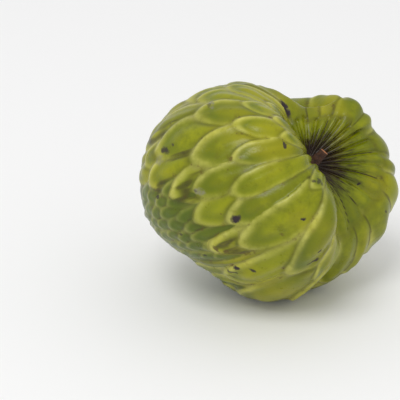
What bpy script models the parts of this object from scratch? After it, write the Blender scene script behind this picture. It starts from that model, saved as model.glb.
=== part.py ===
# Custard apple: one whole fruit resting on its flank, with the cut stub of its stalk in the hollow.
# Metres, +Z up.  The stalk end heads toward +X and is tipped up; the ground is z = 0.
import bpy
import bmesh
import numpy as np
from math import radians, pi
from mathutils import Matrix, Vector

for old in list(bpy.data.objects):
    bpy.data.objects.remove(old, do_unlink=True)

mm = 0.001

# driving sizes: lengths in mm, angles in degrees
axisRise = 33.8          # how far the fruit's own axis is tipped up from the ground
axisSpin = -98.8         # turn of the fruit about that axis
flatDepth = 2.6          # how much of the lowest bulge is pressed flat where the fruit rests
ringCount = 60           # mesh rings from blossom end to stalk end
segmentCount = 100       # mesh segments round the axis

# eight values round the axis, every 45 degrees
waistRadius = (50.5, 46.5, 51.5, 56.0, 51.5, 45.5, 48.5, 52.5)
waistHeight = (-4.5, -4.5, -14.0, -4.0, -5.0, -3.0, -1.5, -6.0)
rimRadius = (24.5, 33.5, 36.0, 37.5, 30.0, 29.0, 25.0, 30.0)
rimHeight = (38.0, 38.0, 19.0, 35.5, 42.0, 39.5, 23.5, 33.5)
rimSlope = (0.1, 0.0, -0.4, -0.1, 0.0, 0.15, 0.2, 0.05)
lowerFullness = (0.8, 0.5, 0.59, 0.58, 0.58, 0.55, 0.66, 0.66)
upperFullness = (0.5, 0.5, 0.44, 0.62, 0.54, 0.44, 0.48, 0.52)

blossomHeight = -52.2    # foot of the fruit, along its axis
blossomFullness = 0.485
hollowHeight = 23.5      # floor of the stalk hollow, along the axis
hollowReach = 0.48
hollowFloor = 6.5        # how broad the floor of the hollow stays
waistAt = 0.42           # where waist and rim lie on the way from blossom end to hollow
rimAt = 0.70
blossomShift = (-1.8, -7.0)
hollowShift = (-2.0, -2.7)
notchAzimuth = 241       # a furrow crosses the rim here
notchWidth = 12
notchDepth = 7.5
notchAt = 0.55
notchSpan = 0.15

# scales of the flank that lies toward -Y: azimuth, place along the meridian, width mm, lean
sideScales = (
    (-26, 0.446, 16.5, -30), (-38, 0.352, 19.0, -10), (-24, 0.322, 14.0, -10), (-13, 0.380, 15.0, -20),
    (-11.5, 0.432, 12.0, -10), (-4, 0.495, 10.0, -30), (-51.5, 0.452, 15.5, 15), (-40, 0.545, 10.5, 30),
    (-67, 0.430, 14.0, 10), (-80, 0.485, 13.0, 0), (-71, 0.385, 15.0, 0), (-53, 0.285, 15.0, 0),
    (-21, 0.528, 9.5, -10), (8.5, 0.455, 13.5, -20), (24, 0.438, 17.0, -15), (2.5, 0.398, 13.0, -25),
    (20.5, 0.372, 14.5, 10), (38, 0.352, 17.0, 0), (56, 0.305, 25.0, -15), (80, 0.395, 19.0, 0),
    (54, 0.480, 21.0, -40), (8, 0.335, 10.0, 0), (25, 0.318, 10.0, 0), (-8, 0.332, 11.0, 0),
    (74, 0.535, 13.0, -20), (90, 0.480, 14.0, 0), (-58, 0.565, 10.5, 10), (14, 0.650, 8.0, 0),
    (-30, 0.655, 8.0, 0), (-46, 0.650, 9.0, 0), (-75, 0.630, 10.0, 0), (40, 0.640, 8.0, 0),
)
# scales that roll over the far rim, then the last row, whose tips crown the hollow
rimScales = (
    (-103, 0.500, 12.0, 0), (-117, 0.500, 13.0, 0), (-129, 0.470, 13.0, 0), (-133, 0.545, 11.5, 0),
    (-146, 0.605, 14.0, 0), (-163, 0.600, 10.0, 0), (175, 0.500, 20.0, 0), (158.5, 0.550, 7.0, 0), (147, 0.500, 14.5, 0),
    (129, 0.490, 15.5, 0), (114.5, 0.490, 9.0, 0), (104, 0.470, 10.5, 0),
    (-95.5, 0.715, 6.2, 0), (-104, 0.715, 4.6, 0), (-112.5, 0.735, 6.4, 0), (-123.5, 0.735, 6.4, 0),
    (-134.5, 0.745, 6.4, 0), (-146.5, 0.740, 7.4, 0), (-160, 0.755, 7.6, 0), (-173.5, 0.720, 7.4, 0),
    (173, 0.710, 7.4, 0), (161, 0.700, 6.6, 0), (150, 0.710, 7.0, 0), (137.5, 0.700, 7.2, 0),
    (124.5, 0.710, 7.2, 0), (111.5, 0.700, 7.0, 30), (99, 0.690, 7.6, 60), (84, 0.690, 8.6, 60),
    (67, 0.700, 8.6, 20), (51.5, 0.715, 8.0, 0), (37, 0.725, 8.0, 0), (22, 0.735, 8.0, 0),
    (6, 0.735, 8.6, 0), (-10, 0.730, 8.6, 0), (-26, 0.725, 8.6, 0), (-42, 0.720, 8.6, 0),
    (-58, 0.710, 8.6, 0), (-73, 0.700, 8.0, 0), (-85.5, 0.705, 6.6, 0),
)
goldenAngle = 137.508
firstAzimuth = 10.0
scaleSeed = 3
scaleArea = ((0, 19), (0.12, 32), (0.2, 60), (0.3, 170), (0.4, 330), (0.55, 330), (0.65, 190))
scaleWidth = ((0, 4.6), (0.12, 6), (0.22, 9.5), (0.32, 14), (0.42, 16.5), (0.55, 16), (0.66, 12))
lastScale = 0.70
scaleBase = -0.8         # skin between scales, below the smooth body
scaleDome = 0.8
scaleLift = 0.65         # how far a tip stands off the scale below it
scaleLean = 0.6          # one flank up, the other tucked under its neighbour
scaleSwell = (0.25, 2.3)  # how far a scale is rounded up across: on the -Y flank, elsewhere
swellMiddle = 0.4        # share of that rounding taken off again all over
scaleTip = 1.65          # length of the pointed end, in half widths
scaleArch = 1.55         # 2 is round, less is pointed
scaleCover = 4.0         # head start a scale has over those a row below

# stub of the stalk, in the fruit's own axes
stemBase = (-1.8, -2.4, 24.75)
stemBend = (-1.9, -2.7, 28.2)
stemTip = (-3.4, -4.4, 32.6)
stemRadius = (1.9, 1.7, 1.85)
stemCollar = 2.5


def around(values, phi):
    """Smooth closed curve through eight values spaced evenly round the axis."""
    v = np.array(values, float)
    k = np.arange(8) * pi / 4
    out = np.full_like(phi, v.mean())
    for m in (1, 2, 3):
        out += (v * np.cos(m * k)).sum() / 4 * np.cos(m * phi)
        out += (v * np.sin(m * k)).sum() / 4 * np.sin(m * phi)
    return out + (v * np.cos(4 * k)).sum() / 8 * np.cos(4 * phi)


def bend(a, b, c, d, f):
    g = 1 - f
    return g ** 3 * a + 3 * g * g * f * b + 3 * g * f * f * c + f ** 3 * d


def ramp(pairs, x):
    return np.interp(x, [p[0] for p in pairs], [p[1] for p in pairs])


def ease(a, b, x):
    q = np.clip((x - a) / (b - a), 0, 1)
    return q * q * (3 - 2 * q)


def body(phi, t):
    """Point on the smooth fruit, in mm along its own axes, and its distance from the middle line."""
    waist = around(waistRadius, phi)
    waistZ = around(waistHeight, phi)
    rim = around(rimRadius, phi)
    rimZ = around(rimHeight, phi)
    slope = around(rimSlope, phi)
    low = around(lowerFullness, phi)
    high = around(upperFullness, phi)
    a = np.clip(t / waistAt, 0, 1)
    b = np.clip((t - waistAt) / (rimAt - waistAt), 0, 1)
    c = np.clip((t - rimAt) / (1 - rimAt), 0, 1)
    lowR = bend(0 * waist, blossomFullness * waist, waist, waist, a)
    lowZ = bend(blossomHeight, blossomHeight, waistZ - low * (waistZ - blossomHeight), waistZ, a)
    midR = bend(waist, waist, rim + high * (waist - rim), rim, b)
    midZ = bend(waistZ, waistZ + high * (rimZ - waistZ), rimZ + slope * high * (waist - rim), rimZ, b)
    topR = bend(rim, rim * (1 - hollowReach), hollowFloor, 0, c)
    topZ = bend(rimZ, rimZ - slope * hollowReach * rim, hollowHeight, hollowHeight, c)
    r = np.where(t < waistAt, lowR, np.where(t < rimAt, midR, topR))
    z = np.where(t < waistAt, lowZ, np.where(t < rimAt, midZ, topZ))
    shiftAt = (0, 0.15, 0.3, 0.45, 0.6, 0.8, 1)
    start = np.interp(t, shiftAt, (1, 0.95, 0.6, 0.15, 0, 0, 0))
    end = np.interp(t, shiftAt, (0, 0, 0, 0, 0, 0.6, 1))
    x = r * np.cos(phi) + start * blossomShift[0] + end * hollowShift[0]
    y = r * np.sin(phi) + start * blossomShift[1] + end * hollowShift[1]
    return np.stack([x, y, z], -1), r


# mean length of a meridian and mean radius along it
alongAt = np.linspace(0, 1, 1001)
allRound = np.linspace(0, 2 * pi, 72, endpoint=False)
gridT, gridPhi = np.meshgrid(alongAt, allRound, indexing="ij")
gridPoint, gridRadius = body(gridPhi, gridT)
stepLength = np.linalg.norm(np.diff(gridPoint, axis=0), axis=-1).mean(1)
along = np.concatenate([[0], np.cumsum(stepLength)])
meanRadius = gridRadius.mean(1)


def scaleList():
    """Tips of all scales, blossom end first: azimuth, place, width, lean."""
    density = 2 * pi * meanRadius / ramp(scaleArea, alongAt)
    count = np.concatenate([[0], np.cumsum((density[1:] + density[:-1]) / 2 * np.diff(along))])
    total = int(np.interp(lastScale, alongAt, count))
    rng = np.random.RandomState(scaleSeed)
    rows = []
    for i in range(total):
        place = float(np.interp(i + 0.5, count, alongAt))
        width = float(ramp(scaleWidth, place))
        jitter = rng.uniform(-1, 1, 5)
        radius = max(float(np.interp(place, alongAt, meanRadius)), 2)
        azimuth = firstAzimuth - goldenAngle * i + np.degrees(jitter[0] * 0.1 * width / radius)
        azimuth = (azimuth + 180) % 360 - 180
        place += jitter[1] * 0.1 * width / along[-1]
        if place > 0.46 or (-85 < azimuth < 100 and place > 0.3):
            continue
        rows.append((azimuth, place, width * (1 + 0.1 * jitter[2]), 10 * jitter[3]))
    rows += sideScales + rimScales
    rows.sort(key=lambda row: row[1])
    return rows


def spread(t):
    """Radius that turns an angle into a width; constant in the hollow, where scales narrow to ribs."""
    q = ease(0.64, 0.76, t)
    return np.interp(t, alongAt, meanRadius) * (1 - q) + np.interp(0.72, alongAt, meanRadius) * q


def relief(phi, t):
    """Height of the overlapping scales over the smooth body, mm."""
    s = np.interp(t, alongAt, along)
    k = spread(t)
    height = np.full(t.shape, scaleBase)
    row = np.full(t.shape, -100.0)
    outer = 1 - ease(0.60, 0.72, t)
    for azimuth, place, width, lean in scaleList():
        tipAlong = np.interp(place, alongAt, along)
        y = s - tipAlong
        turn = (phi - np.radians(azimuth + lean * (t - place))) / 2
        half = width * 0.56
        size = min(max(width / 14, 0.3), 1.1)
        radius = np.sqrt(k * max(float(spread(place)), 2)) if place < 0.22 else k
        x = 2 * radius * np.sin(turn) * np.sign(np.cos(turn)) + 0.1 * half
        tipLength = half * scaleTip
        arch = np.abs(y / tipLength - 1) ** scaleArch + np.abs(x / half) ** scaleArch
        arch = (1 - arch ** (1 / scaleArch)) * half
        edge = np.where(y < tipLength, arch, half - np.abs(x)) / size
        inside = ease(-1.2, 1.2, edge)
        tilt = np.clip(x / half, -1, 1)
        front = np.exp(-((azimuth + 12) / 62) ** 4) * ease(0.30, 0.37, place)
        swell = scaleSwell[0] * front + scaleSwell[1] * (1 - front)
        swell = np.maximum(swell, 1.7 * ease(0.60, 0.74, t)) * (1 - 0.8 * ease(0.78, 0.98, t))
        swell = swell * (0.3 + 0.7 * ease(-1 * size, 6 * size, y))
        lift = scaleLift * (1 - ease(0, 16 * size, y)) * (1 - 0.6 * ease(0.62, 0.70, place))
        total = scaleDome * (1 - np.exp(-np.maximum(edge, 0) / 2)) + lift - scaleLean * tilt * outer
        total = total * size + scaleBase + swell * (1 - tilt ** 2 - swellMiddle)
        gain = total - height + scaleCover * ease(4, 9, tipAlong - row)
        share = inside * ease(-0.5, 0.5, gain)
        height += (total - height) * share
        row += (tipAlong - row) * share
    return height * (1 - 0.7 * ease(0.9, 1, t))


def notch(phi, t):
    """Depth of the furrow that crosses the rim."""
    turn = np.degrees(np.arccos(np.clip(np.cos(phi - radians(notchAzimuth)), -1, 1)))
    return -notchDepth * np.exp(-(turn / notchWidth) ** 2 - ((t - notchAt) / notchSpan) ** 2)


def surface(phi, t):
    """Point on the scaled skin: the smooth body moved along its normal."""
    d = 1e-3
    point = body(phi, t)[0]
    east = body(phi + d, t)[0] - body(phi - d, t)[0]
    north = body(phi, np.minimum(t + d, 1))[0] - body(phi, np.maximum(t - d, 0))[0]
    normal = np.cross(east, north)
    length = np.linalg.norm(normal, axis=-1, keepdims=True)
    pole = np.stack([0 * t, 0 * t, np.where(t < 0.5, -1.0, 1.0)], -1)
    normal = np.where(length > 1e-9, normal / np.maximum(length, 1e-9), pole)
    return point + normal * (relief(phi, t) + notch(phi, t))[..., None]


# the fruit's own axes, laid down on the ground
tip = Matrix.Rotation(radians(90 - axisRise), 4, "Y")
place = tip @ Matrix.Rotation(radians(axisSpin), 4, "Z")
place3 = np.array(place.to_3x3())


def material(name, colour, roughness):
    m = bpy.data.materials.new(name)
    m.use_nodes = True
    shader = m.node_tree.nodes["Principled BSDF"]
    shader.inputs["Base Color"].default_value = (*colour, 1)
    shader.inputs["Roughness"].default_value = roughness
    shader.inputs["Metallic"].default_value = 0
    return m


part = bpy.data.collections.new("custard_apple")
bpy.context.scene.collection.children.link(part)

# fruit: a sphere whose every vertex is carried to the scaled skin
bm = bmesh.new()
bmesh.ops.create_uvsphere(bm, u_segments=segmentCount, v_segments=ringCount, radius=1)
co = np.array([v.co for v in bm.verts])
phi = np.arctan2(co[:, 1], co[:, 0])
t = 1 - np.arccos(np.clip(co[:, 2], -1, 1)) / pi
atPole = np.abs(co[:, 2]) > 1 - 1e-9
phi[atPole] = 0
skin = surface(phi, t) @ place3.T
# stood on the ground with its outline centred over the origin
slide = np.append((skin[:, :2].max(0) + skin[:, :2].min(0)) / 2, skin[:, 2].min() + flatDepth)
for v, p in zip(bm.verts, skin - slide):
    v.co = Vector(p) * mm

# flat spot it rests on
cut = bmesh.ops.bisect_plane(
    bm, geom=bm.verts[:] + bm.edges[:] + bm.faces[:], dist=1e-6,
    plane_co=(0, 0, 0), plane_no=(0, 0, -1), clear_outer=True)
rimEdges = [e for e in cut["geom_cut"] if isinstance(e, bmesh.types.BMEdge)]
for v in {v for e in rimEdges for v in e.verts}:
    v.co.z = 0
floorFaces = bmesh.ops.contextual_create(bm, geom=rimEdges)["faces"]
bmesh.ops.recalc_face_normals(bm, faces=bm.faces)
for f in bm.faces:
    f.smooth = True
for f in floorFaces:
    f.smooth = False
mesh = bpy.data.meshes.new("fruit")
bm.to_mesh(mesh)
bm.free()
fruit = bpy.data.objects.new("fruit", mesh)
fruit.data.materials.append(material("green_skin", (0.24, 0.27, 0.04), 0.45))
part.objects.link(fruit)

# stem: short woody stub, swept along a bent line
curve = bpy.data.curves.new("stem_line", "CURVE")
curve.dimensions = "3D"
curve.bevel_depth = 1 * mm
curve.bevel_resolution = 5
curve.use_fill_caps = True
line = curve.splines.new("NURBS")
way = [stemBase, tuple(np.array(stemBase) * 0.8 + np.array(stemBend) * 0.2), stemBend, stemTip]
width = [stemCollar, stemRadius[0], stemRadius[1], stemRadius[2]]
line.points.add(len(way) - 1)
line.order_u = 3
line.use_endpoint_u = True
line.resolution_u = 6
for p, w, r in zip(line.points, way, width):
    p.co = (*((place3 @ np.array(w) - slide) * mm), 1)
    p.radius = r
sweep = bpy.data.objects.new("stem_sweep", curve)
part.objects.link(sweep)
bpy.context.view_layer.update()
stemMesh = bpy.data.meshes.new_from_object(sweep.evaluated_get(bpy.context.evaluated_depsgraph_get()))
bpy.data.objects.remove(sweep, do_unlink=True)
bm = bmesh.new()
bm.from_mesh(stemMesh)
bmesh.ops.remove_doubles(bm, verts=bm.verts, dist=1e-6)
bmesh.ops.recalc_face_normals(bm, faces=bm.faces)
bm.to_mesh(stemMesh)
bm.free()
stem = bpy.data.objects.new("stem", stemMesh)
stem.data.name = "stem"
stem.data.materials.clear()
stem.data.materials.append(material("brown_bark", (0.075, 0.035, 0.015), 0.8))
part.objects.link(stem)
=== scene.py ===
import math

import bpy
import bmesh
import numpy as np
from mathutils import Matrix, Vector, noise


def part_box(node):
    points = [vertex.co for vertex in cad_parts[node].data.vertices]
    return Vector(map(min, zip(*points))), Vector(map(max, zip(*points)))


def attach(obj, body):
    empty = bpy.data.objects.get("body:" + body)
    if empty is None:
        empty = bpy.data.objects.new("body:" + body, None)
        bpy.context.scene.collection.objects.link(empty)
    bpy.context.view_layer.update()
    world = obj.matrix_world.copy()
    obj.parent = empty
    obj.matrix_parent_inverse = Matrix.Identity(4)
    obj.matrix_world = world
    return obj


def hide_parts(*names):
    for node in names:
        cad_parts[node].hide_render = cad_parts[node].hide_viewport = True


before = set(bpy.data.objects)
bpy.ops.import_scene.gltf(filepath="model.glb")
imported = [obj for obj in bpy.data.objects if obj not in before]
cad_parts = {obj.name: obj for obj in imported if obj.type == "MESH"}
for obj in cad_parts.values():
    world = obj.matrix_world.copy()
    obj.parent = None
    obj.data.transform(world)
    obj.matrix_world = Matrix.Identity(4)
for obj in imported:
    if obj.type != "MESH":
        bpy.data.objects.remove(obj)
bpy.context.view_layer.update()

mm = 0.001


def linear(hexText):
    # sRGB hex to linear RGBA
    parts = [int(hexText[i:i + 2], 16) / 255 for i in (0, 2, 4)]
    return tuple(c / 12.92 if c <= 0.04045 else ((c + 0.055) / 1.055) ** 2.4 for c in parts) + (1,)


def addNode(tree, kind, links=(), give=0, **settings):
    # kind may carry an operation after a space; links joins sockets or sets plain values, by name or in
    # order; give picks the output that comes back, or "all" of them
    kind, gap, operation = kind.partition(" ")
    node = tree.nodes.new(kind)
    if operation:
        node.operation = operation
    for key, value in settings.items():
        setattr(node, key, value)
    for key, value in (links if isinstance(links, dict) else dict(enumerate(links))).items():
        if isinstance(value, bpy.types.NodeSocket):
            tree.links.new(value, node.inputs[key])
        else:
            node.inputs[key].default_value = value
    return node.outputs if give == "all" else node.outputs[give]


# the smooth fruit under its scales: lengths in mm along its own axis, eight values round it
fruitShape = {
    "axisRise": 33.8,
    "axisSpin": -98.8,
    "flatDepth": 2.6,
    "waistRadius": (50.5, 46.5, 51.5, 56.0, 51.5, 45.5, 48.5, 52.5),
    "waistHeight": (-4.5, -4.5, -14.0, -4.0, -5.0, -3.0, -1.5, -6.0),
    "rimRadius": (24.5, 33.5, 36.0, 37.5, 30.0, 29.0, 25.0, 30.0),
    "rimHeight": (38.0, 38.0, 19.0, 35.5, 42.0, 39.5, 23.5, 33.5),
    "rimSlope": (0.1, 0.0, -0.4, -0.1, 0.0, 0.15, 0.2, 0.05),
    "lowerFullness": (0.8, 0.5, 0.59, 0.58, 0.58, 0.55, 0.66, 0.66),
    "upperFullness": (0.5, 0.5, 0.44, 0.62, 0.54, 0.44, 0.48, 0.52),
    "blossomHeight": -52.2,
    "blossomFullness": 0.485,
    "hollowHeight": 23.5,
    "hollowReach": 0.48,
    "hollowFloor": 6.5,
    "waistAt": 0.42,
    "rimAt": 0.70,
    "blossomShift": (-1.8, -7.0),
    "hollowShift": (-2.0, -2.7),
    "segments": 408,
    "rings": 240,
}


def around(values, phi):
    # smooth closed curve through eight evenly spaced values
    v = np.array(values, float)
    k = np.arange(8) * math.pi / 4
    out = np.full_like(phi, v.mean())
    for m in (1, 2, 3):
        out += (v * np.cos(m * k)).sum() / 4 * np.cos(m * phi)
        out += (v * np.sin(m * k)).sum() / 4 * np.sin(m * phi)
    return out + (v * np.cos(4 * k)).sum() / 8 * np.cos(4 * phi)


def bend(a, b, c, d, f):
    g = 1 - f
    return g ** 3 * a + 3 * g * g * f * b + 3 * g * f * f * c + f ** 3 * d


def ramp(pairs, x):
    return np.interp(x, [p[0] for p in pairs], [p[1] for p in pairs])


def ease(a, b, x):
    q = np.clip((x - a) / (b - a), 0, 1)
    return q * q * (3 - 2 * q)


def smoothBody(phi, t):
    # t runs from the blossom end (0) over waist and rim to the floor of the stalk hollow (1)
    s = fruitShape
    waist, waistZ = around(s["waistRadius"], phi), around(s["waistHeight"], phi)
    rim, rimZ = around(s["rimRadius"], phi), around(s["rimHeight"], phi)
    slope = around(s["rimSlope"], phi)
    low, high = around(s["lowerFullness"], phi), around(s["upperFullness"], phi)
    a = np.clip(t / s["waistAt"], 0, 1)
    b = np.clip((t - s["waistAt"]) / (s["rimAt"] - s["waistAt"]), 0, 1)
    c = np.clip((t - s["rimAt"]) / (1 - s["rimAt"]), 0, 1)
    foot, reach, floor = s["blossomHeight"], s["hollowReach"], s["hollowHeight"]
    lowR = bend(0 * waist, s["blossomFullness"] * waist, waist, waist, a)
    lowZ = bend(foot, foot, waistZ - low * (waistZ - foot), waistZ, a)
    midR = bend(waist, waist, rim + high * (waist - rim), rim, b)
    midZ = bend(waistZ, waistZ + high * (rimZ - waistZ), rimZ + slope * high * (waist - rim), rimZ, b)
    topR = bend(rim, rim * (1 - reach), s["hollowFloor"], 0, c)
    topZ = bend(rimZ, rimZ - slope * reach * rim, floor, floor, c)
    r = np.where(t < s["waistAt"], lowR, np.where(t < s["rimAt"], midR, topR))
    z = np.where(t < s["waistAt"], lowZ, np.where(t < s["rimAt"], midZ, topZ))
    shiftAt = (0, 0.15, 0.3, 0.45, 0.6, 0.8, 1)
    start = np.interp(t, shiftAt, (1, 0.95, 0.6, 0.15, 0, 0, 0))
    end = np.interp(t, shiftAt, (0, 0, 0, 0, 0, 0.6, 1))
    x = r * np.cos(phi) + start * s["blossomShift"][0] + end * s["hollowShift"][0]
    y = r * np.sin(phi) + start * s["blossomShift"][1] + end * s["hollowShift"][1]
    return np.stack([x, y, z], -1), r


def outwardAt(phi, t):
    d = 1e-3
    east = smoothBody(phi + d, t)[0] - smoothBody(phi - d, t)[0]
    north = smoothBody(phi, np.minimum(t + d, 1))[0] - smoothBody(phi, np.maximum(t - d, 0))[0]
    normal = np.cross(east, north)
    length = np.linalg.norm(normal, axis=-1, keepdims=True)
    pole = np.stack([0 * t, 0 * t, np.where(t < 0.5, -1.0, 1.0)], -1)
    return np.where(length > 1e-9, normal / np.maximum(length, 1e-9), pole)


# mean length of a meridian and mean radius along it
alongAt = np.linspace(0, 1, 1001)
allRound = np.linspace(0, 2 * math.pi, 72, endpoint=False)
gridT, gridPhi = np.meshgrid(alongAt, allRound, indexing="ij")
gridPoint, gridRadius = smoothBody(gridPhi, gridT)
stepLength = np.linalg.norm(np.diff(gridPoint, axis=0), axis=-1).mean(1)
along = np.concatenate([[0], np.cumsum(stepLength)])
meanRadius = gridRadius.mean(1)


def spreadAt(t):
    # radius that turns an angle into a width; constant in the hollow, where scales narrow to ribs
    q = ease(0.64, 0.76, t)
    return np.interp(t, alongAt, meanRadius) * (1 - q) + np.interp(0.72, alongAt, meanRadius) * q


# the fruit lies on its flank, stalk end tipped up toward +X
layDown = Matrix.Rotation(math.radians(90 - fruitShape["axisRise"]), 4, "Y")
layDown = layDown @ Matrix.Rotation(math.radians(fruitShape["axisSpin"]), 4, "Z")
turned = np.array(layDown.to_3x3())

scaleShape = {
    "goldenAngle": 137.508,
    "firstAzimuth": 10.0,
    "seed": 3,
    "area": ((0, 17), (0.12, 26), (0.2, 42), (0.3, 150), (0.4, 330), (0.55, 330), (0.65, 190)),
    "width": ((0, 4.4), (0.12, 5.4), (0.22, 8), (0.32, 13), (0.42, 16.5), (0.55, 16), (0.66, 12)),
    "last": 0.70,
    # patch of small scales: azimuths, places, width mm, then its pitch up and across as shares of that
    "cobble": (-20, 30, 0.185, 0.362, 7.0),
    "cobblePitch": (0.62, 0.86),
    # mm each scale is rounded up across: on the front, elsewhere, over the rim
    "swell": (0.3, 2.3, 3.8),
    "front": (-20, 76),                     # azimuth and half angle
    # furrows that part the front from the far rim: azimuth, half angle, depth mm, place, half length
    "furrows": ((241, 11, 14.5, 0.57, 0.15), (97, 7, 5.5, 0.50, 0.12)),
}
# sizes handed to the node tree, mm unless said
scaleSizes = {
    "Base": -0.8,         # skin between scales, below the smooth body
    "Dome": 0.35,
    "Lift": 0.5,          # how far a tip stands off the scale below it
    "Lip": 0.5,           # soft ridge round the tip and up one flank
    "Dish": -0.6,
    "Belly": 0.55,
    "Lean": 0.6,         # one flank up and the other tucked under its neighbour
    "Groove": 0.22,
    "Cover": 4.0,         # head start a scale has over those a row below
    "Closing": 0.95,      # share of the width left far up the scale
    "Swell Middle": 0.5,
    "Wobble": 2.2,
    "Wobble Size": 11.0,
    "Offset": 0.1,        # share of the half width
    "Tip Length": 1.65,   # share of the half width
    "Arch": 1.55,         # 2 is round, less is pointed
}
# scales of the flank toward -Y: azimuth, place along the meridian, width mm, lean
sideScales = (
    (-26, 0.446, 16.5, -30), (-38, 0.352, 19.0, -10), (-24, 0.322, 14.0, -10), (-13, 0.380, 15.0, -20),
    (-11.5, 0.432, 12.0, -10), (-4, 0.495, 10.0, -30), (-51.5, 0.452, 15.5, 15), (-40, 0.545, 10.5, 30),
    (-67, 0.430, 14.0, 10), (-80, 0.485, 13.0, 0), (-71, 0.385, 15.0, 0), (-53, 0.285, 15.0, 0),
    (-21, 0.528, 9.5, -10), (8.5, 0.455, 13.5, -20), (24, 0.438, 17.0, -15), (2.5, 0.398, 13.0, -25),
    (20.5, 0.376, 14.5, 10), (45, 0.325, 18.0, 0), (73, 0.288, 26.0, -10), (93, 0.400, 15.0, 0),
    (54, 0.480, 21.0, -40), (74, 0.535, 13.0, -20), (-58, 0.565, 10.5, 10), (14, 0.650, 8.0, 0),
    (-30, 0.655, 8.0, 0), (-46, 0.650, 9.0, 0), (-75, 0.630, 10.0, 0),
)
# scales that roll over the far rim, then the last row, whose tips crown the hollow
rimScales = (
    (-103, 0.500, 12.0, 0), (-117, 0.500, 13.0, 0), (-129, 0.470, 13.0, 0), (-133, 0.545, 11.5, 0),
    (-146, 0.605, 14.0, 0), (-163, 0.600, 10.0, 0), (175, 0.500, 20.0, 0), (158.5, 0.550, 7.0, 0),
    (147, 0.500, 14.5, 0), (129, 0.490, 15.5, 0), (114.5, 0.490, 9.0, 0), (104, 0.470, 10.5, 0),
    (-95.5, 0.715, 6.2, 0), (-104, 0.715, 4.6, 0), (-112.5, 0.735, 6.4, 0), (-123.5, 0.735, 6.4, 0),
    (-134.5, 0.745, 6.4, 0), (-146.5, 0.740, 7.4, 0), (-160, 0.755, 7.6, 0), (-173.5, 0.720, 7.4, 0),
    (173, 0.710, 7.4, 0), (161, 0.700, 6.6, 0), (150, 0.710, 7.0, 0), (137.5, 0.700, 7.2, 0),
    (124.5, 0.710, 7.2, 0), (111.5, 0.700, 7.0, 30), (99, 0.690, 7.6, 60), (84, 0.690, 8.6, 60),
    (67, 0.700, 8.6, 20), (51.5, 0.715, 8.0, 0), (37, 0.725, 8.0, 0), (22, 0.735, 8.0, 0),
    (6, 0.735, 8.6, 0), (-10, 0.730, 8.6, 0), (-26, 0.725, 8.6, 0), (-42, 0.720, 8.6, 0),
    (-58, 0.710, 8.6, 0), (-73, 0.700, 8.0, 0), (-85.5, 0.705, 6.6, 0),
)


def scaleList():
    # tips of all scales, blossom end first
    s = scaleShape
    density = 2 * math.pi * meanRadius / ramp(s["area"], alongAt)
    count = np.concatenate([[0], np.cumsum((density[1:] + density[:-1]) / 2 * np.diff(along))])
    rng = np.random.RandomState(s["seed"])
    left, right, low, high, small = s["cobble"]
    pitchUp, pitchAcross = s["cobblePitch"]
    rows = []
    for i in range(int(np.interp(s["last"], alongAt, count))):
        place = float(np.interp(i + 0.5, count, alongAt))
        width = float(ramp(s["width"], place))
        jitter = rng.uniform(-1, 1, 5)
        radius = max(float(np.interp(place, alongAt, meanRadius)), 2)
        azimuth = s["firstAzimuth"] - s["goldenAngle"] * i + np.degrees(jitter[0] * 0.1 * width / radius)
        azimuth = (azimuth + 180) % 360 - 180
        place += jitter[1] * 0.1 * width / along[-1]
        # the flank, the far rim and the patch of small scales have their own
        if place > 0.46 or (-85 < azimuth < 100 and place > 0.3):
            continue
        if (left < azimuth < right and low - 0.02 < place) or (25 < azimuth < 105 and place > 0.255):
            continue
        rows.append((azimuth, place, width * (1 + 0.1 * jitter[2]), 10 * jitter[3]))
    bands = round((high - low) * along[-1] / (pitchUp * small))
    for band in range(bands):
        place = low + (high - low) * band / (bands - 1)
        step = math.degrees(pitchAcross * small / float(np.interp(place, alongAt, meanRadius)))
        azimuth = left + step * (0.5 if band % 2 else 0.0)
        while azimuth < right:
            jitter = rng.uniform(-1, 1, 3)
            shifted = azimuth + 0.16 * step * jitter[0]
            rows.append((shifted, place + 0.004 * jitter[1], small * (1 + 0.15 * jitter[2]), 0))
            azimuth += step
    rows += sideScales + rimScales
    rows.sort(key=lambda row: row[1])
    return rows


def keep(mesh, values):
    # numbers kept on the mesh's points
    for key, value in values.items():
        value = np.asarray(value, np.float32)
        vector = value.ndim == 2
        layer = mesh.attributes.new(key, "FLOAT_VECTOR" if vector else "FLOAT", "POINT")
        layer.data.foreach_set("vector" if vector else "value", value.ravel())


def bodyMesh():
    # a sphere whose every vertex is carried to the smooth fruit
    s = fruitShape
    bm = bmesh.new()
    bmesh.ops.create_uvsphere(bm, u_segments=s["segments"], v_segments=s["rings"], radius=1)
    mesh = bpy.data.meshes.new("smoothFruit")
    bm.to_mesh(mesh)
    bm.free()
    co = np.empty(len(mesh.vertices) * 3)
    mesh.vertices.foreach_get("co", co)
    co = co.reshape(-1, 3)
    phi = np.arctan2(co[:, 1], co[:, 0])
    t = 1 - np.arccos(np.clip(co[:, 2], -1, 1)) / math.pi
    phi[np.abs(co[:, 2]) > 1 - 1e-9] = 0
    furrow = np.zeros_like(t)
    for azimuth, half, depth, at, span in scaleShape["furrows"]:
        off = np.degrees(np.arccos(np.clip(np.cos(phi - math.radians(azimuth)), -1, 1)))
        furrow -= depth * np.exp(-(off / half) ** 2 - ((t - at) / span) ** 2)
    outward = outwardAt(phi, t)
    point = (smoothBody(phi, t)[0] + outward * furrow[:, None]) @ turned.T * mm
    mesh.vertices.foreach_set("co", point.ravel())
    reach = np.interp(t, alongAt, along)
    streakRadius, drawnOut = 35.0, 0.3   # streaks run lengthwise, down into the hollow
    keep(mesh, {
        "turn": phi, "place": t, "reach": reach, "spread": spreadAt(t), "outward": outward @ turned.T,
        "grain": np.stack([streakRadius * np.cos(phi), streakRadius * np.sin(phi), drawnOut * reach], -1),
    })
    return mesh


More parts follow.
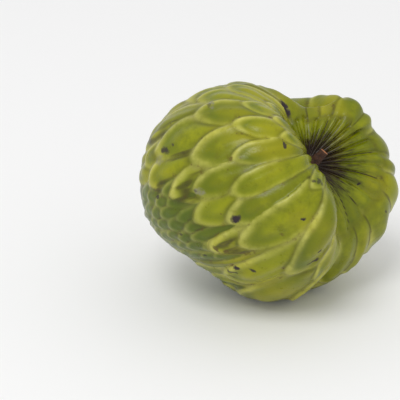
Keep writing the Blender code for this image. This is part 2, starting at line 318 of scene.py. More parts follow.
def tipMesh():
    # one point for each scale's tip, in the order the scales cover each other
    rows = scaleList()
    rng = np.random.RandomState(scaleShape["seed"] + 1)
    azimuth, place, width, lean = np.array(rows, float).T
    atPole = place < 0.22
    # scales bulge more on the far side, low down near the blossom end and over the rim
    frontAt, frontHalf = scaleShape["front"]
    front = np.exp(-(((azimuth - frontAt) / frontHalf) ** 2) ** 2) * ease(0.30, 0.37, place)
    onFront, elsewhere, overRim = scaleShape["swell"]
    rolled = ease(0.42, 0.48, place) * (place < 0.66)
    swell = onFront * front + (elsewhere + (overRim - elsewhere) * rolled) * (1 - front)
    cobbled = (width < 8.2) & (place < 0.37) & (place > 0.17)
    swell = np.where(cobbled, 0.13 * width, swell)
    # small scales get a shade below zero, which the rind turns into painted shade
    shade = rng.uniform(0, 1, len(rows)) - 1.2 * cobbled
    mesh = bpy.data.meshes.new("scaleTips")
    mesh.from_pydata([(0, 0, 0)] * len(rows), [], [])
    keep(mesh, {
        "tip": np.stack([np.radians(azimuth), np.interp(place, alongAt, along), place], -1),
        "form": np.stack([width * 0.56, np.radians(lean), np.clip(width / 14, 0.3, 1.1)], -1),
        "extra": np.stack([atPole, np.maximum(spreadAt(place), 2), shade], -1),
        "swell": swell,
    })
    return mesh, len(rows)


# smooth steps in a scale's shape: what they follow, from, to, value before, value after
scaleSteps = {
    "outer": ("place", 0.60, 0.72, 1.0, 0.0),           # dish, belly and lean stay outside the hollow
    "lipFade": ("place", 0.66, 0.76, 1.0, 0.25),
    "ribSwell": ("place", 0.60, 0.74, 0.0, 3.2),        # mm, least swell of the ribs
    "hollowSwell": ("place", 0.78, 0.98, 1.0, 0.2),
    "grooveWide": ("place", 0.68, 0.80, 0.65, 1.2),
    "grooveDeep": ("place", 0.68, 0.80, 1.0, 2.4),
    "outMove": ("place", 0.9, 1.0, 0.001, 0.0003),      # metres to a mm, ribs sinking at the hollow's floor
    "liftUp": ("far", 0.0, 16.0, 1.0, 0.0),
    "tipSwell": ("far", -1.0, 6.0, 0.3, 1.0),
    "tipRun": ("far", 0.0, 12.0, 0.0, 1.0),
    "rimLift": ("tipPlace", 0.62, 0.70, 1.0, 0.4),
    "lastRow": ("tipPlace", 0.67, 0.69, 0.0, 1.0),
}
# bell curves in a scale's shape, in scale sizes: what they follow, centre, width or the step that gives it
scaleBells = {
    "ridge": ("edge", 1.5, 1.5),
    "dish": ("edge", 4.8, 2.6),
    "crown": ("far", 15.0, 7.0),
    "groove": ("edge", 0.0, "grooveWide"),
}


def scaleTree():
    tree = bpy.data.node_groups.new("overlappingScales", "GeometryNodeTree")
    face = tree.interface
    face.new_socket("Geometry", in_out="INPUT", socket_type="NodeSocketGeometry")
    face.new_socket("Tips", in_out="INPUT", socket_type="NodeSocketObject")
    face.new_socket("Count", in_out="INPUT", socket_type="NodeSocketInt")
    for name in scaleSizes:
        face.new_socket(name, in_out="INPUT", socket_type="NodeSocketFloat")
    face.new_socket("Skin", in_out="INPUT", socket_type="NodeSocketMaterial")
    face.new_socket("Geometry", in_out="OUTPUT", socket_type="NodeSocketGeometry")
    given = addNode(tree, "NodeGroupInput", give="all")
    tips = addNode(tree, "GeometryNodeObjectInfo", {"Object": given["Tips"]}, "Geometry")
    spot = addNode(tree, "GeometryNodeInputPosition")
    outward = addNode(tree, "GeometryNodeInputNamedAttribute", {"Name": "outward"}, "Attribute",
                      data_type="FLOAT_VECTOR")

    # what the skin keeps while scales are laid: their starting values, and where each point stands
    starts = {"height": given["Base"], "rim": 0.0, "under": 0.0, "shade": 0.5,
              "across": 0.0, "down": 0.0, "row": -100.0, "share": 0.0}
    kept = {}
    for name in ("turn", "place", "reach", "spread", *starts):
        kept[name] = addNode(tree, "GeometryNodeInputNamedAttribute", {"Name": name}, "Attribute",
                             data_type="FLOAT")
    geometry = given["Geometry"]
    for name, start in starts.items():
        geometry = addNode(tree, "GeometryNodeStoreNamedAttribute", {
            "Geometry": geometry, "Name": name, "Value": start}, data_type="FLOAT")

    # slow wander that keeps the outlines from being drawn with a compass
    often = addNode(tree, "ShaderNodeMath DIVIDE", [1000, given["Wobble Size"]])
    wander = addNode(tree, "ShaderNodeTexNoise", {"Vector": spot, "Scale": often, "Detail": 1.5})
    wander = addNode(tree, "ShaderNodeMath SUBTRACT", [wander, 0.5])
    wander = addNode(tree, "ShaderNodeMath MULTIPLY", [wander, given["Wobble"]])

    # one turn of the loop for each scale, which looks up its own tip
    loop = tree.nodes.new("GeometryNodeRepeatInput")
    loopEnd = tree.nodes.new("GeometryNodeRepeatOutput")
    loop.pair_with_output(loopEnd)
    tree.links.new(given["Count"], loop.inputs["Iterations"])
    tree.links.new(geometry, loop.inputs["Geometry"])
    own = {}
    for name, kind in (("tip", "FLOAT_VECTOR"), ("form", "FLOAT_VECTOR"), ("extra", "FLOAT_VECTOR"),
                       ("swell", "FLOAT")):
        own[name] = addNode(tree, "GeometryNodeInputNamedAttribute", {"Name": name}, "Attribute",
                            data_type=kind)
        own[name] = addNode(tree, "GeometryNodeSampleIndex", {
            "Geometry": tips, "Value": own[name], "Index": loop.outputs["Iteration"]}, "Value",
            data_type=kind)
    tipTurn, tipReach, tipPlace = addNode(tree, "ShaderNodeSeparateXYZ", [own["tip"]], "all")
    half, leaning, size = addNode(tree, "ShaderNodeSeparateXYZ", [own["form"]], "all")
    atPole, tipSpread, ownShade = addNode(tree, "ShaderNodeSeparateXYZ", [own["extra"]], "all")

    # y runs up the scale from its tip, x across it, both in mm
    y = addNode(tree, "ShaderNodeMath SUBTRACT", [kept["reach"], tipReach])
    lean = addNode(tree, "ShaderNodeMath SUBTRACT", [kept["place"], tipPlace])
    lean = addNode(tree, "ShaderNodeMath MULTIPLY", [lean, leaning])
    turn = addNode(tree, "ShaderNodeMath SUBTRACT", [kept["turn"], tipTurn])
    turn = addNode(tree, "ShaderNodeMath SUBTRACT", [turn, lean])
    turn = addNode(tree, "ShaderNodeMath MULTIPLY", [turn, 0.5])
    facing = addNode(tree, "ShaderNodeMath COSINE", [turn])
    facing = addNode(tree, "ShaderNodeMath SIGN", [facing])
    wave = addNode(tree, "ShaderNodeMath SINE", [turn])
    wave = addNode(tree, "ShaderNodeMath MULTIPLY", [wave, facing])
    polar = addNode(tree, "ShaderNodeMath MULTIPLY", [kept["spread"], tipSpread])
    polar = addNode(tree, "ShaderNodeMath SQRT", [polar])
    radius = addNode(tree, "ShaderNodeMix", {0: atPole, 2: kept["spread"], 3: polar}, data_type="FLOAT")
    radius = addNode(tree, "ShaderNodeMath MULTIPLY", [radius, 2])
    x = addNode(tree, "ShaderNodeMath MULTIPLY", [wave, radius])
    x = addNode(tree, "ShaderNodeMath MULTIPLY_ADD", [half, given["Offset"], x])
    ratio = addNode(tree, "ShaderNodeMath DIVIDE", [x, half])
    far = addNode(tree, "ShaderNodeMath DIVIDE", [y, size])

    # distance in from the scale's outline: two slowly closing sides, and a pointed arch at the tip
    tipLength = addNode(tree, "ShaderNodeMath MULTIPLY", [half, given["Tip Length"]])
    rest = addNode(tree, "ShaderNodeMath SUBTRACT", [y, tipLength])
    side = addNode(tree, "ShaderNodeMapRange", [rest, 0.0, 26.0, 1.0, given["Closing"]],
                   interpolation_type="SMOOTHSTEP")
    side = addNode(tree, "ShaderNodeMath MULTIPLY", [half, side])
    off = addNode(tree, "ShaderNodeMath ABSOLUTE", [x])
    side = addNode(tree, "ShaderNodeMath SUBTRACT", [side, off])
    rise = addNode(tree, "ShaderNodeMath DIVIDE", [rest, tipLength])
    rise = addNode(tree, "ShaderNodeMath ABSOLUTE", [rise])
    rise = addNode(tree, "ShaderNodeMath POWER", [rise, given["Arch"]])
    bow = addNode(tree, "ShaderNodeMath ABSOLUTE", [ratio])
    bow = addNode(tree, "ShaderNodeMath POWER", [bow, given["Arch"]])
    root = addNode(tree, "ShaderNodeMath DIVIDE", [1, given["Arch"]])
    arch = addNode(tree, "ShaderNodeMath ADD", [rise, bow])
    arch = addNode(tree, "ShaderNodeMath POWER", [arch, root])
    arch = addNode(tree, "ShaderNodeMath SUBTRACT", [1, arch])
    arch = addNode(tree, "ShaderNodeMath MULTIPLY", [arch, half])
    atTip = addNode(tree, "ShaderNodeMath LESS_THAN", [rest, 0])
    edge = addNode(tree, "ShaderNodeMix", {0: atTip, 2: side, 3: arch}, data_type="FLOAT")
    edge = addNode(tree, "ShaderNodeMath MULTIPLY_ADD", [wander, size, edge])
    edge = addNode(tree, "ShaderNodeMath DIVIDE", [edge, size])   # in scale sizes from here on
    inside = addNode(tree, "ShaderNodeMapRange", [edge, -1.4, 1.2], interpolation_type="SMOOTHSTEP")

    follow = {"place": kept["place"], "far": far, "tipPlace": tipPlace, "edge": edge}
    step = {}
    for name, (followed, *ends) in scaleSteps.items():
        step[name] = addNode(tree, "ShaderNodeMapRange", [follow[followed], *ends],
                             interpolation_type="SMOOTHSTEP")
    bell = {}
    for name, (followed, centre, width) in scaleBells.items():
        off = addNode(tree, "ShaderNodeMath SUBTRACT", [follow[followed], centre])
        off = addNode(tree, "ShaderNodeMath DIVIDE", [off, step.get(width, width)])
        off = addNode(tree, "ShaderNodeMath MULTIPLY", [off, off])
        off = addNode(tree, "ShaderNodeMath MULTIPLY", [off, -1])
        bell[name] = addNode(tree, "ShaderNodeMath EXPONENT", [off])

    # profile from the outline inward: rounded edge, ridge, shallow dish behind it, belly
    into = addNode(tree, "ShaderNodeMath MAXIMUM", [edge, 0])
    tilt = addNode(tree, "ShaderNodeMath MINIMUM", [ratio, 1])
    tilt = addNode(tree, "ShaderNodeMath MAXIMUM", [tilt, -1])
    hump = addNode(tree, "ShaderNodeMath MULTIPLY", [tilt, tilt])
    hump = addNode(tree, "ShaderNodeMath SUBTRACT", [1, hump])
    total = addNode(tree, "ShaderNodeMath MULTIPLY", [into, -0.9])
    total = addNode(tree, "ShaderNodeMath EXPONENT", [total])
    total = addNode(tree, "ShaderNodeMath SUBTRACT", [1, total])
    total = addNode(tree, "ShaderNodeMath MULTIPLY", [total, given["Dome"]])
    ridge = addNode(tree, "ShaderNodeMath MULTIPLY_ADD", [tilt, -0.45, 0.55])   # higher on one flank
    ridge = addNode(tree, "ShaderNodeMath MULTIPLY", [ridge, given["Lip"]])
    ridge = addNode(tree, "ShaderNodeMath MULTIPLY", [ridge, step["lipFade"]])
    total = addNode(tree, "ShaderNodeMath MULTIPLY_ADD", [bell["ridge"], ridge, total])
    dish = addNode(tree, "ShaderNodeMath MULTIPLY", [bell["dish"], step["outer"]])
    total = addNode(tree, "ShaderNodeMath MULTIPLY_ADD", [dish, given["Dish"], total])
    crown = addNode(tree, "ShaderNodeMath MULTIPLY", [bell["crown"], hump])
    crown = addNode(tree, "ShaderNodeMath MULTIPLY", [crown, step["outer"]])
    total = addNode(tree, "ShaderNodeMath MULTIPLY_ADD", [crown, given["Belly"], total])

    # tip lifted off the row below, one flank tucked under, the whole scale rounded up across
    lift = addNode(tree, "ShaderNodeMath MULTIPLY", [step["liftUp"], step["rimLift"]])
    total = addNode(tree, "ShaderNodeMath MULTIPLY_ADD", [lift, given["Lift"], total])
    sideways = addNode(tree, "ShaderNodeMath MULTIPLY", [tilt, step["outer"]])
    tucked = addNode(tree, "ShaderNodeMath MULTIPLY", [given["Lean"], -1])
    total = addNode(tree, "ShaderNodeMath MULTIPLY_ADD", [sideways, tucked, total])
    total = addNode(tree, "ShaderNodeMath MULTIPLY_ADD", [total, size, given["Base"]])
    swell = addNode(tree, "ShaderNodeMath MAXIMUM", [own["swell"], step["ribSwell"]])
    swell = addNode(tree, "ShaderNodeMath MULTIPLY", [swell, step["hollowSwell"]])
    swell = addNode(tree, "ShaderNodeMath MULTIPLY", [swell, step["tipSwell"]])
    hump = addNode(tree, "ShaderNodeMath SUBTRACT", [hump, given["Swell Middle"]])
    total = addNode(tree, "ShaderNodeMath MULTIPLY_ADD", [hump, swell, total])

    # a scale lies on the row below and doesn't cut into it; beside one of its own row the higher flank
    # stays on top
    below = addNode(tree, "ShaderNodeMath SUBTRACT", [tipReach, kept["row"]])
    below = addNode(tree, "ShaderNodeMapRange", [below, 4.0, 9.0], interpolation_type="SMOOTHSTEP")
    bed = addNode(tree, "ShaderNodeMath MULTIPLY_ADD", [below, -8, 8.5])
    bed = addNode(tree, "ShaderNodeMath SUBTRACT", [kept["height"], bed])
    bed = addNode(tree, "ShaderNodeMath MULTIPLY_ADD", [step["lastRow"], -8, bed])
    total = addNode(tree, "ShaderNodeMath SMOOTH_MAX", [total, bed, 0.8])
    gain = addNode(tree, "ShaderNodeMath SUBTRACT", [total, kept["height"]])
    gain = addNode(tree, "ShaderNodeMath MULTIPLY_ADD", [below, given["Cover"], gain])
    above = addNode(tree, "ShaderNodeMapRange", [gain, -0.5, 0.5], interpolation_type="SMOOTHSTEP")

    # a tip of the last row runs out softly onto the broad lobe below it
    runOut = addNode(tree, "ShaderNodeMix", {0: step["lastRow"], 2: 1.0, 3: step["tipRun"]},
                     data_type="FLOAT")
    above = addNode(tree, "ShaderNodeMath MULTIPLY", [above, runOut])
    covers = addNode(tree, "ShaderNodeMath MULTIPLY", [inside, above])
    height = addNode(tree, "ShaderNodeMix", {0: covers, 2: kept["height"], 3: total}, data_type="FLOAT")
    depth = addNode(tree, "ShaderNodeMath MULTIPLY", [bell["groove"], size])
    depth = addNode(tree, "ShaderNodeMath MULTIPLY", [depth, above])
    depth = addNode(tree, "ShaderNodeMath MULTIPLY", [depth, step["grooveDeep"]])
    groove = addNode(tree, "ShaderNodeMath MULTIPLY", [given["Groove"], -1])
    height = addNode(tree, "ShaderNodeMath MULTIPLY_ADD", [depth, groove, height])

    # how deep a point lies in a crease: where two scales meet, and just outside an outline; the rind paints
    # shade there from it
    meet = addNode(tree, "ShaderNodeMath SUBTRACT", [1, above])
    meet = addNode(tree, "ShaderNodeMath MULTIPLY", [above, meet])
    meet = addNode(tree, "ShaderNodeMath MULTIPLY", [meet, 3.2])
    meet = addNode(tree, "ShaderNodeMath MULTIPLY", [meet, inside])
    clear = addNode(tree, "ShaderNodeMapRange", [runOut, 0.8, 1.0], interpolation_type="SMOOTHSTEP")
    meet = addNode(tree, "ShaderNodeMath MULTIPLY", [meet, clear])
    near = addNode(tree, "ShaderNodeMath MINIMUM", [edge, 0])
    near = addNode(tree, "ShaderNodeMath MULTIPLY", [near, 1.3])
    near = addNode(tree, "ShaderNodeMath EXPONENT", [near])
    near = addNode(tree, "ShaderNodeMath MULTIPLY", [near, above])
    near = addNode(tree, "ShaderNodeMath MAXIMUM", [near, kept["under"]])
    near = addNode(tree, "ShaderNodeMix", {0: covers, 2: near, 3: 0.0}, data_type="FLOAT")
    under = addNode(tree, "ShaderNodeMath MAXIMUM", [near, meet])

    # the share this scale covers is kept first, because it comes from the heights before they change
    changed = {"share": covers, "under": under, "height": height}
    for name, value in (("rim", into), ("shade", ownShade), ("across", tilt), ("down", far),
                        ("row", tipReach)):
        changed[name] = addNode(tree, "ShaderNodeMix", {0: kept["share"], 2: kept[name], 3: value},
                                data_type="FLOAT")
    geometry = loop.outputs["Geometry"]
    for name, value in changed.items():
        geometry = addNode(tree, "GeometryNodeStoreNamedAttribute", {
            "Geometry": geometry, "Name": name, "Value": value}, data_type="FLOAT")
    tree.links.new(geometry, loopEnd.inputs["Geometry"])

    # steps between scales are rounded off, then every point moves out along the smooth fruit's normal
    geometry = loopEnd.outputs["Geometry"]
    for name, times in (("height", 2), ("rim", 1)):
        rounded = addNode(tree, "GeometryNodeBlurAttribute", {"Value": kept[name], "Iterations": times},
                          "Value", data_type="FLOAT")
        geometry = addNode(tree, "GeometryNodeStoreNamedAttribute", {
            "Geometry": geometry, "Name": name, "Value": rounded}, data_type="FLOAT")
    move = addNode(tree, "ShaderNodeMath MULTIPLY", [kept["height"], step["outMove"]])
    move = addNode(tree, "ShaderNodeVectorMath SCALE", {0: outward, "Scale": move})
    geometry = addNode(tree, "GeometryNodeSetPosition", {"Geometry": geometry, "Offset": move})
    geometry = addNode(tree, "GeometryNodeRealizeInstances", [geometry])
    geometry = addNode(tree, "GeometryNodeSetMaterial", {"Geometry": geometry, "Material": given["Skin"]})
    addNode(tree, "NodeGroupOutput", [geometry], "all")
    return tree


def dressed(base, tree, inputs, name):
    # runs the tree on a mesh and gives back the plain result
    holder = bpy.data.objects.new(name + "Base", base)
    bpy.context.scene.collection.objects.link(holder)
    modifier = holder.modifiers.new("scales", "NODES")
    modifier.node_group = tree
    for item in tree.interface.items_tree:
        if item.in_out == "INPUT" and item.name in inputs:
            modifier[item.identifier] = inputs[item.name]
    bpy.context.view_layer.update()
    mesh = bpy.data.meshes.new_from_object(holder.evaluated_get(bpy.context.evaluated_depsgraph_get()))
    bpy.data.objects.remove(holder, do_unlink=True)
    mesh.name = name
    return mesh


def settle(mesh):
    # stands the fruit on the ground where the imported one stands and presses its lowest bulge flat
    co = np.empty(len(mesh.vertices) * 3)
    mesh.vertices.foreach_get("co", co)
    co = co.reshape(-1, 3)
    low, high = (np.array(corner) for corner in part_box("fruit"))
    move = (low + high) / 2 - (co.min(0) + co.max(0)) / 2
    move[2] = -co[:, 2].min() - fruitShape["flatDepth"] * mm
    co += move
    soft = 0.5 * mm
    co[:, 2] = (co[:, 2] + np.sqrt(co[:, 2] ** 2 + soft ** 2)) / 2
    mesh.vertices.foreach_set("co", co.ravel())
    mesh.update()
    return move


# waxy custard apple rind: olive scales with pale ridges, brown stains and painted shade where they meet,
# scuffed and spotted
# painted light: a highlight on the ridges' lit flank, a sheen on high ground, shade in creases, dishes,
# hollow, small scales and blossom end
rindLook = {
    "olive": "707602",
    # dark olive laid on as painted shade, over the scales' own deeper green behind the tips
    "deepOliveShade": "485C06",
    "belly": "8C9006",
    # pale ridge colour, partly the rind's own and partly painted highlight
    "ridge": "C0BD56",
    # greyish painted sheen on the high ground
    "paintedSheen": "B0B070",
    "yellow": "9E980C",
    # painted shade in the creases
    "creaseShade": "3E3A0C",
    # the hollow's own brown, darkened as painted shade
    "hollowBrownShade": "241508",
    "bruise": "2E2428",
    "rust": "5A4A12",
    "dust": "7E7C62",
    "ridgeWide": 1.5,         # in scale sizes
    "freckleSize": 4.2,       # mm, and so are those below
    "streakWidth": 1.111,
    "raggedSize": 2.222,
    "raggedDeep": 3.2,
    "markDeep": 4.0,
    "reliefDeep": 0.3,
    "roughness": 0.30,
    "specular": 0.27,
}
# patterns over the rind: size mm, detail, roughness; the pores are drawn coarser than real ones to show
rindPatterns = {
    "patches": (26.0, 2.0, 0.5),
    "mottle": (5.0, 4.0, 0.6),
    "stains": (3.6, 5.0, 0.7),
    "pores": (0.9, 2.0, 0.5),
}
# marks: azimuth, place, half width and half length in mm, turn of the length from the meridian, colour,
# strength
rindMarks = (
    (7.5, 0.476, 1.9, 2.6, -10, "bruise", 1.0), (35.5, 0.395, 1.5, 1.9, 30, "bruise", 1.0),
    (40.0, 0.426, 1.3, 1.7, 60, "bruise", 0.95), (37.5, 0.374, 1.0, 2.6, 40, "bruise", 0.8),
    (42.0, 0.360, 0.9, 2.8, 60, "bruise", 0.5), (19.0, 0.395, 1.0, 2.6, 80, "rust", 0.9),
    (22.5, 0.407, 1.2, 1.8, 80, "rust", 0.9), (27.5, 0.524, 1.1, 1.5, 60, "rust", 0.9),
    (26.0, 0.582, 0.9, 1.1, 0, "bruise", 1.0), (50.5, 0.586, 0.7, 1.0, 0, "bruise", 1.0),
    (133.0, 0.794, 0.8, 0.9, 0, "bruise", 1.0), (130.0, 0.674, 0.6, 0.9, 0, "bruise", 0.9),
    (-24.5, 0.659, 0.9, 1.6, 90, "bruise", 0.9), (-16.0, 0.347, 0.8, 1.1, 0, "bruise", 0.8),
    (22.5, 0.349, 0.8, 1.1, 0, "bruise", 0.8), (5.5, 0.351, 0.8, 1.1, 0, "bruise", 0.7),
    (57.5, 0.562, 1.0, 3.4, 15, "bruise", 0.95), (-57.5, 0.492, 1.5, 3.6, 60, "dust", 0.9),
    (-56.5, 0.486, 1.1, 2.0, 60, "bruise", 0.5), (-11.5, 0.446, 1.6, 3.2, 35, "dust", 0.85),
    (-12.6, 0.440, 0.6, 1.6, 35, "bruise", 0.5),
    (-85.0, 0.360, 1.6, 2.4, 0, "bruise", 0.7), (-52.5, 0.299, 1.3, 2.6, 0, "bruise", 0.75),
    (-36.5, 0.391, 1.8, 2.6, 40, "bruise", 0.85), (-33.0, 0.372, 2.6, 3.2, 40, "dust", 0.6),
    (-38.0, 0.412, 0.8, 1.0, 0, "bruise", 0.7), (-93.5, 0.676, 1.7, 5.5, 6, "bruise", 1.0),
    (-62.0, 0.706, 0.9, 4.5, 70, "bruise", 0.9), (14.0, 0.690, 1.3, 2.0, 0, "bruise", 0.7),
    (11.0, 0.672, 0.9, 1.2, 0, "bruise", 0.7), (18.0, 0.700, 0.8, 1.5, 0, "bruise", 0.6),
)


# smooth steps in the rind's colours: what they follow, from, to, value before, value after
rindSteps = {
    "yellowed": ("patches", 0.45, 0.68, 0.0, 1.0),
    "nearTip": ("down", 4.0, 20.0, 1.0, 0.25),
    # painted shade at the blossom end and on the small scales
    "blossomEnd": ("place", 0.30, 0.18, 0.0, 1.0),
    "smallScale": ("shade", 0.0, -0.2, 0.0, 1.0),
    # painted highlight, broad on the flank facing the light
    "highlightFlank": ("across", 0.9, -0.3, 0.3, 0.85),
    "ridgePatches": ("patches", 0.36, 0.56, 0.45, 1.0),
    "ridgeOutside": ("place", 0.76, 0.66, 0.15, 1.0),
    "ridgeLarge": ("shade", -0.2, 0.0, 0.45, 1.0),
    # where the painted sheen lies
    "sheenPatches": ("patches", 0.62, 0.4, 0.0, 1.0),
    "stained": ("stains", 0.54, 0.68, 0.0, 1.0),
    "stainCrease": ("under", 0.0, 0.35, 0.0, 1.0),
    "stainPatches": ("patches", 0.35, 0.6, 0.5, 1.6),
    # painted shade into the hollow and its throat
    "inHollow": ("place", 0.72, 0.84, 0.0, 1.0),
    "creased": ("under", 0.1, 0.5, 0.0, 1.0),
    "sunken": ("height", -0.2, -1.2, 0.0, 1.0),
    "throatStart": ("place", 0.69, 0.82, 0.0, 1.0),
    "dustWorn": ("stains", 0.36, 0.56, 0.15, 1.0),
    "rustWorn": ("stains", 0.36, 0.50, 0.3, 1.0),
}


def rindMaterial(material, middle):
    material.use_nodes = True
    tree = material.node_tree
    shader = tree.nodes["Principled BSDF"]
    look = rindLook
    spot = addNode(tree, "ShaderNodeTexCoord", give="Object")
    follow = {}
    for name in ("rim", "under", "across", "down", "shade", "place", "height"):
        follow[name] = addNode(tree, "ShaderNodeAttribute", give="Fac", attribute_name=name)
    for name, (size, detail, roughness) in rindPatterns.items():
        follow[name] = addNode(tree, "ShaderNodeTexNoise", {
            "Vector": spot, "Scale": 1000 / size, "Detail": detail, "Roughness": roughness})
    mottle, shade, across, rim = (follow[name] for name in ("mottle", "shade", "across", "rim"))
    step = {}
    for name, (followed, *ends) in rindSteps.items():
        step[name] = addNode(tree, "ShaderNodeMapRange", [follow[followed], *ends],
                             interpolation_type="SMOOTHSTEP")

    # field of each scale: deep olive just behind the tip, partly its own green and partly painted shade of
    # the dish, lighter over the belly
    tone = addNode(tree, "ShaderNodeMath MULTIPLY_ADD", [shade, 0.4, -0.25])
    tone = addNode(tree, "ShaderNodeMath MULTIPLY_ADD", [mottle, 0.9, tone])
    tone = addNode(tree, "ShaderNodeMapRange", [tone, 0.2, 0.6], interpolation_type="SMOOTHSTEP")
    yellow = addNode(tree, "ShaderNodeMath MULTIPLY", [step["yellowed"], 0.6])
    off = addNode(tree, "ShaderNodeMath SUBTRACT", [rim, 4.6])
    off = addNode(tree, "ShaderNodeMath DIVIDE", [off, 2.3])
    off = addNode(tree, "ShaderNodeMath MULTIPLY", [off, off])
    off = addNode(tree, "ShaderNodeMath MULTIPLY", [off, -1])
    dishGreenAndShade = addNode(tree, "ShaderNodeMath EXPONENT", [off])
    dishGreenAndShade = addNode(tree, "ShaderNodeMath MULTIPLY", [dishGreenAndShade, step["nearTip"]])
    uneven = addNode(tree, "ShaderNodeMath MULTIPLY_ADD", [mottle, 1.6, -0.25])
    dishGreenAndShade = addNode(tree, "ShaderNodeMath MULTIPLY", [dishGreenAndShade, uneven], use_clamp=True)
    # painted shade: the blossom end and the patch of small scales are darkened
    blossomShade = addNode(tree, "ShaderNodeMath MULTIPLY", [step["blossomEnd"], 0.8])
    smallScaleShade = addNode(tree, "ShaderNodeMath MULTIPLY", [step["smallScale"], 0.75])

    # pale ridge, partly worn and partly a painted highlight broad on the raised flank that faces the light,
    # and a greyish painted sheen on the high ground
    wide = addNode(tree, "ShaderNodeMath MULTIPLY_ADD", [across, -0.6, look["ridgeWide"]])
    ridge = addNode(tree, "ShaderNodeMath SUBTRACT", [rim, 0.9])
    ridge = addNode(tree, "ShaderNodeMath DIVIDE", [ridge, wide])
    ridge = addNode(tree, "ShaderNodeMath MULTIPLY", [ridge, ridge])
    ridge = addNode(tree, "ShaderNodeMath MULTIPLY", [ridge, -1])
    ridge = addNode(tree, "ShaderNodeMath EXPONENT", [ridge])
    ridge = addNode(tree, "ShaderNodeMath MULTIPLY", [ridge, step["highlightFlank"]])
    patchy = addNode(tree, "ShaderNodeMath MULTIPLY_ADD", [mottle, 2.2, -0.35])
    ridge = addNode(tree, "ShaderNodeMath MULTIPLY", [ridge, patchy], use_clamp=True)
    for name in ("ridgePatches", "ridgeOutside", "ridgeLarge"):
        ridge = addNode(tree, "ShaderNodeMath MULTIPLY", [ridge, step[name]])
    paintedSheen = addNode(tree, "ShaderNodeMath MULTIPLY", [ridge, 0.5])
    paintedSheen = addNode(tree, "ShaderNodeMath MULTIPLY", [step["sheenPatches"], paintedSheen])

    # painted shade in the creases, brown stains, then the dull brown throat of the stalk hollow with
    # painted shade
    dark = addNode(tree, "ShaderNodeMath POWER", [follow["under"], 1.1], use_clamp=True)
    creaseShade = addNode(tree, "ShaderNodeMath MULTIPLY_ADD", [mottle, 1.3, 0.4])
    creaseShade = addNode(tree, "ShaderNodeMath MULTIPLY", [dark, creaseShade], use_clamp=True)
    stain = addNode(tree, "ShaderNodeMath MULTIPLY_ADD", [step["stainCrease"], 0.45, 0.14])
    stain = addNode(tree, "ShaderNodeMath MULTIPLY", [step["stained"], stain])
    stain = addNode(tree, "ShaderNodeMath MULTIPLY", [stain, step["stainPatches"]])
    # painted shade: the hollow is darkened, and its throat deepened in creases, sunken parts and far down
    hollowShade = addNode(tree, "ShaderNodeMath MULTIPLY", [step["inHollow"], 0.3])
    cavity = addNode(tree, "ShaderNodeMath MAXIMUM", [step["creased"], step["sunken"]])
    throat = addNode(tree, "ShaderNodeMath MULTIPLY", [step["throatStart"], cavity])
    grain = addNode(tree, "ShaderNodeAttribute", give="Vector", attribute_name="grain")
    deep = addNode(tree, "ShaderNodeTexNoise", {
        "Vector": grain, "Scale": 1 / look["streakWidth"], "Detail": 3.0})
    deep = addNode(tree, "ShaderNodeMath MULTIPLY_ADD", [deep, 0.22, follow["place"]])
    deep = addNode(tree, "ShaderNodeMapRange", [deep, 0.88, 1.01], interpolation_type="SMOOTHSTEP")
    brownAndShade = addNode(tree, "ShaderNodeMath MULTIPLY", [throat, 0.9])
    brownAndShade = addNode(tree, "ShaderNodeMath MAXIMUM", [brownAndShade, deep])

    # freckles: a small round spot in some of the cells
    cells = addNode(tree, "ShaderNodeTexVoronoi", {
        "Vector": spot, "Scale": 1000 / look["freckleSize"]}, "all")
    chance = addNode(tree, "ShaderNodeSeparateXYZ", [cells["Color"]])
    chance = addNode(tree, "ShaderNodeMath GREATER_THAN", [chance, 0.78])
    freckle = addNode(tree, "ShaderNodeMapRange", [cells["Distance"], 0.13, 0.06],
                      interpolation_type="SMOOTHSTEP")
    freckle = addNode(tree, "ShaderNodeMath MULTIPLY", [freckle, chance])
    freckle = addNode(tree, "ShaderNodeMath MULTIPLY", [freckle, 0.55])

    # marks with ragged edges
    bent = addNode(tree, "ShaderNodeTexNoise", {
        "Vector": spot, "Scale": 1000 / look["raggedSize"], "Detail": 3.0}, "Color")
    bent = addNode(tree, "ShaderNodeVectorMath SUBTRACT", [bent, (0.5, 0.5, 0.5)])
    bent = addNode(tree, "ShaderNodeVectorMath MULTIPLY_ADD", [bent, (look["raggedDeep"] * mm,) * 3, spot])
    groups = {}
    for azimuth, at, halfWide, halfLong, swing, name, strength in rindMarks:
        sideways, upward, out, centre = markFrame(azimuth, at, swing)
        turning = Matrix([[sideways[i], upward[i], out[i]] for i in range(3)]).to_euler()
        mark = addNode(tree, "ShaderNodeMapping", {
            "Vector": bent, "Location": tuple(centre * mm + middle), "Rotation": tuple(turning),
            "Scale": (halfWide * mm, halfLong * mm, look["markDeep"] * mm)}, vector_type="TEXTURE")
        mark = addNode(tree, "ShaderNodeVectorMath LENGTH", [mark], "Value")
        mark = addNode(tree, "ShaderNodeMapRange", [mark, 1.15, 0.55, 0.0, strength],
                       interpolation_type="SMOOTHSTEP")
        if name in groups:
            mark = addNode(tree, "ShaderNodeMath MAXIMUM", [groups[name], mark])
        groups[name] = mark
    dust = addNode(tree, "ShaderNodeMath MULTIPLY", [groups["dust"], step["dustWorn"]])
    rust = addNode(tree, "ShaderNodeMath MULTIPLY", [groups["rust"], step["rustWorn"]])

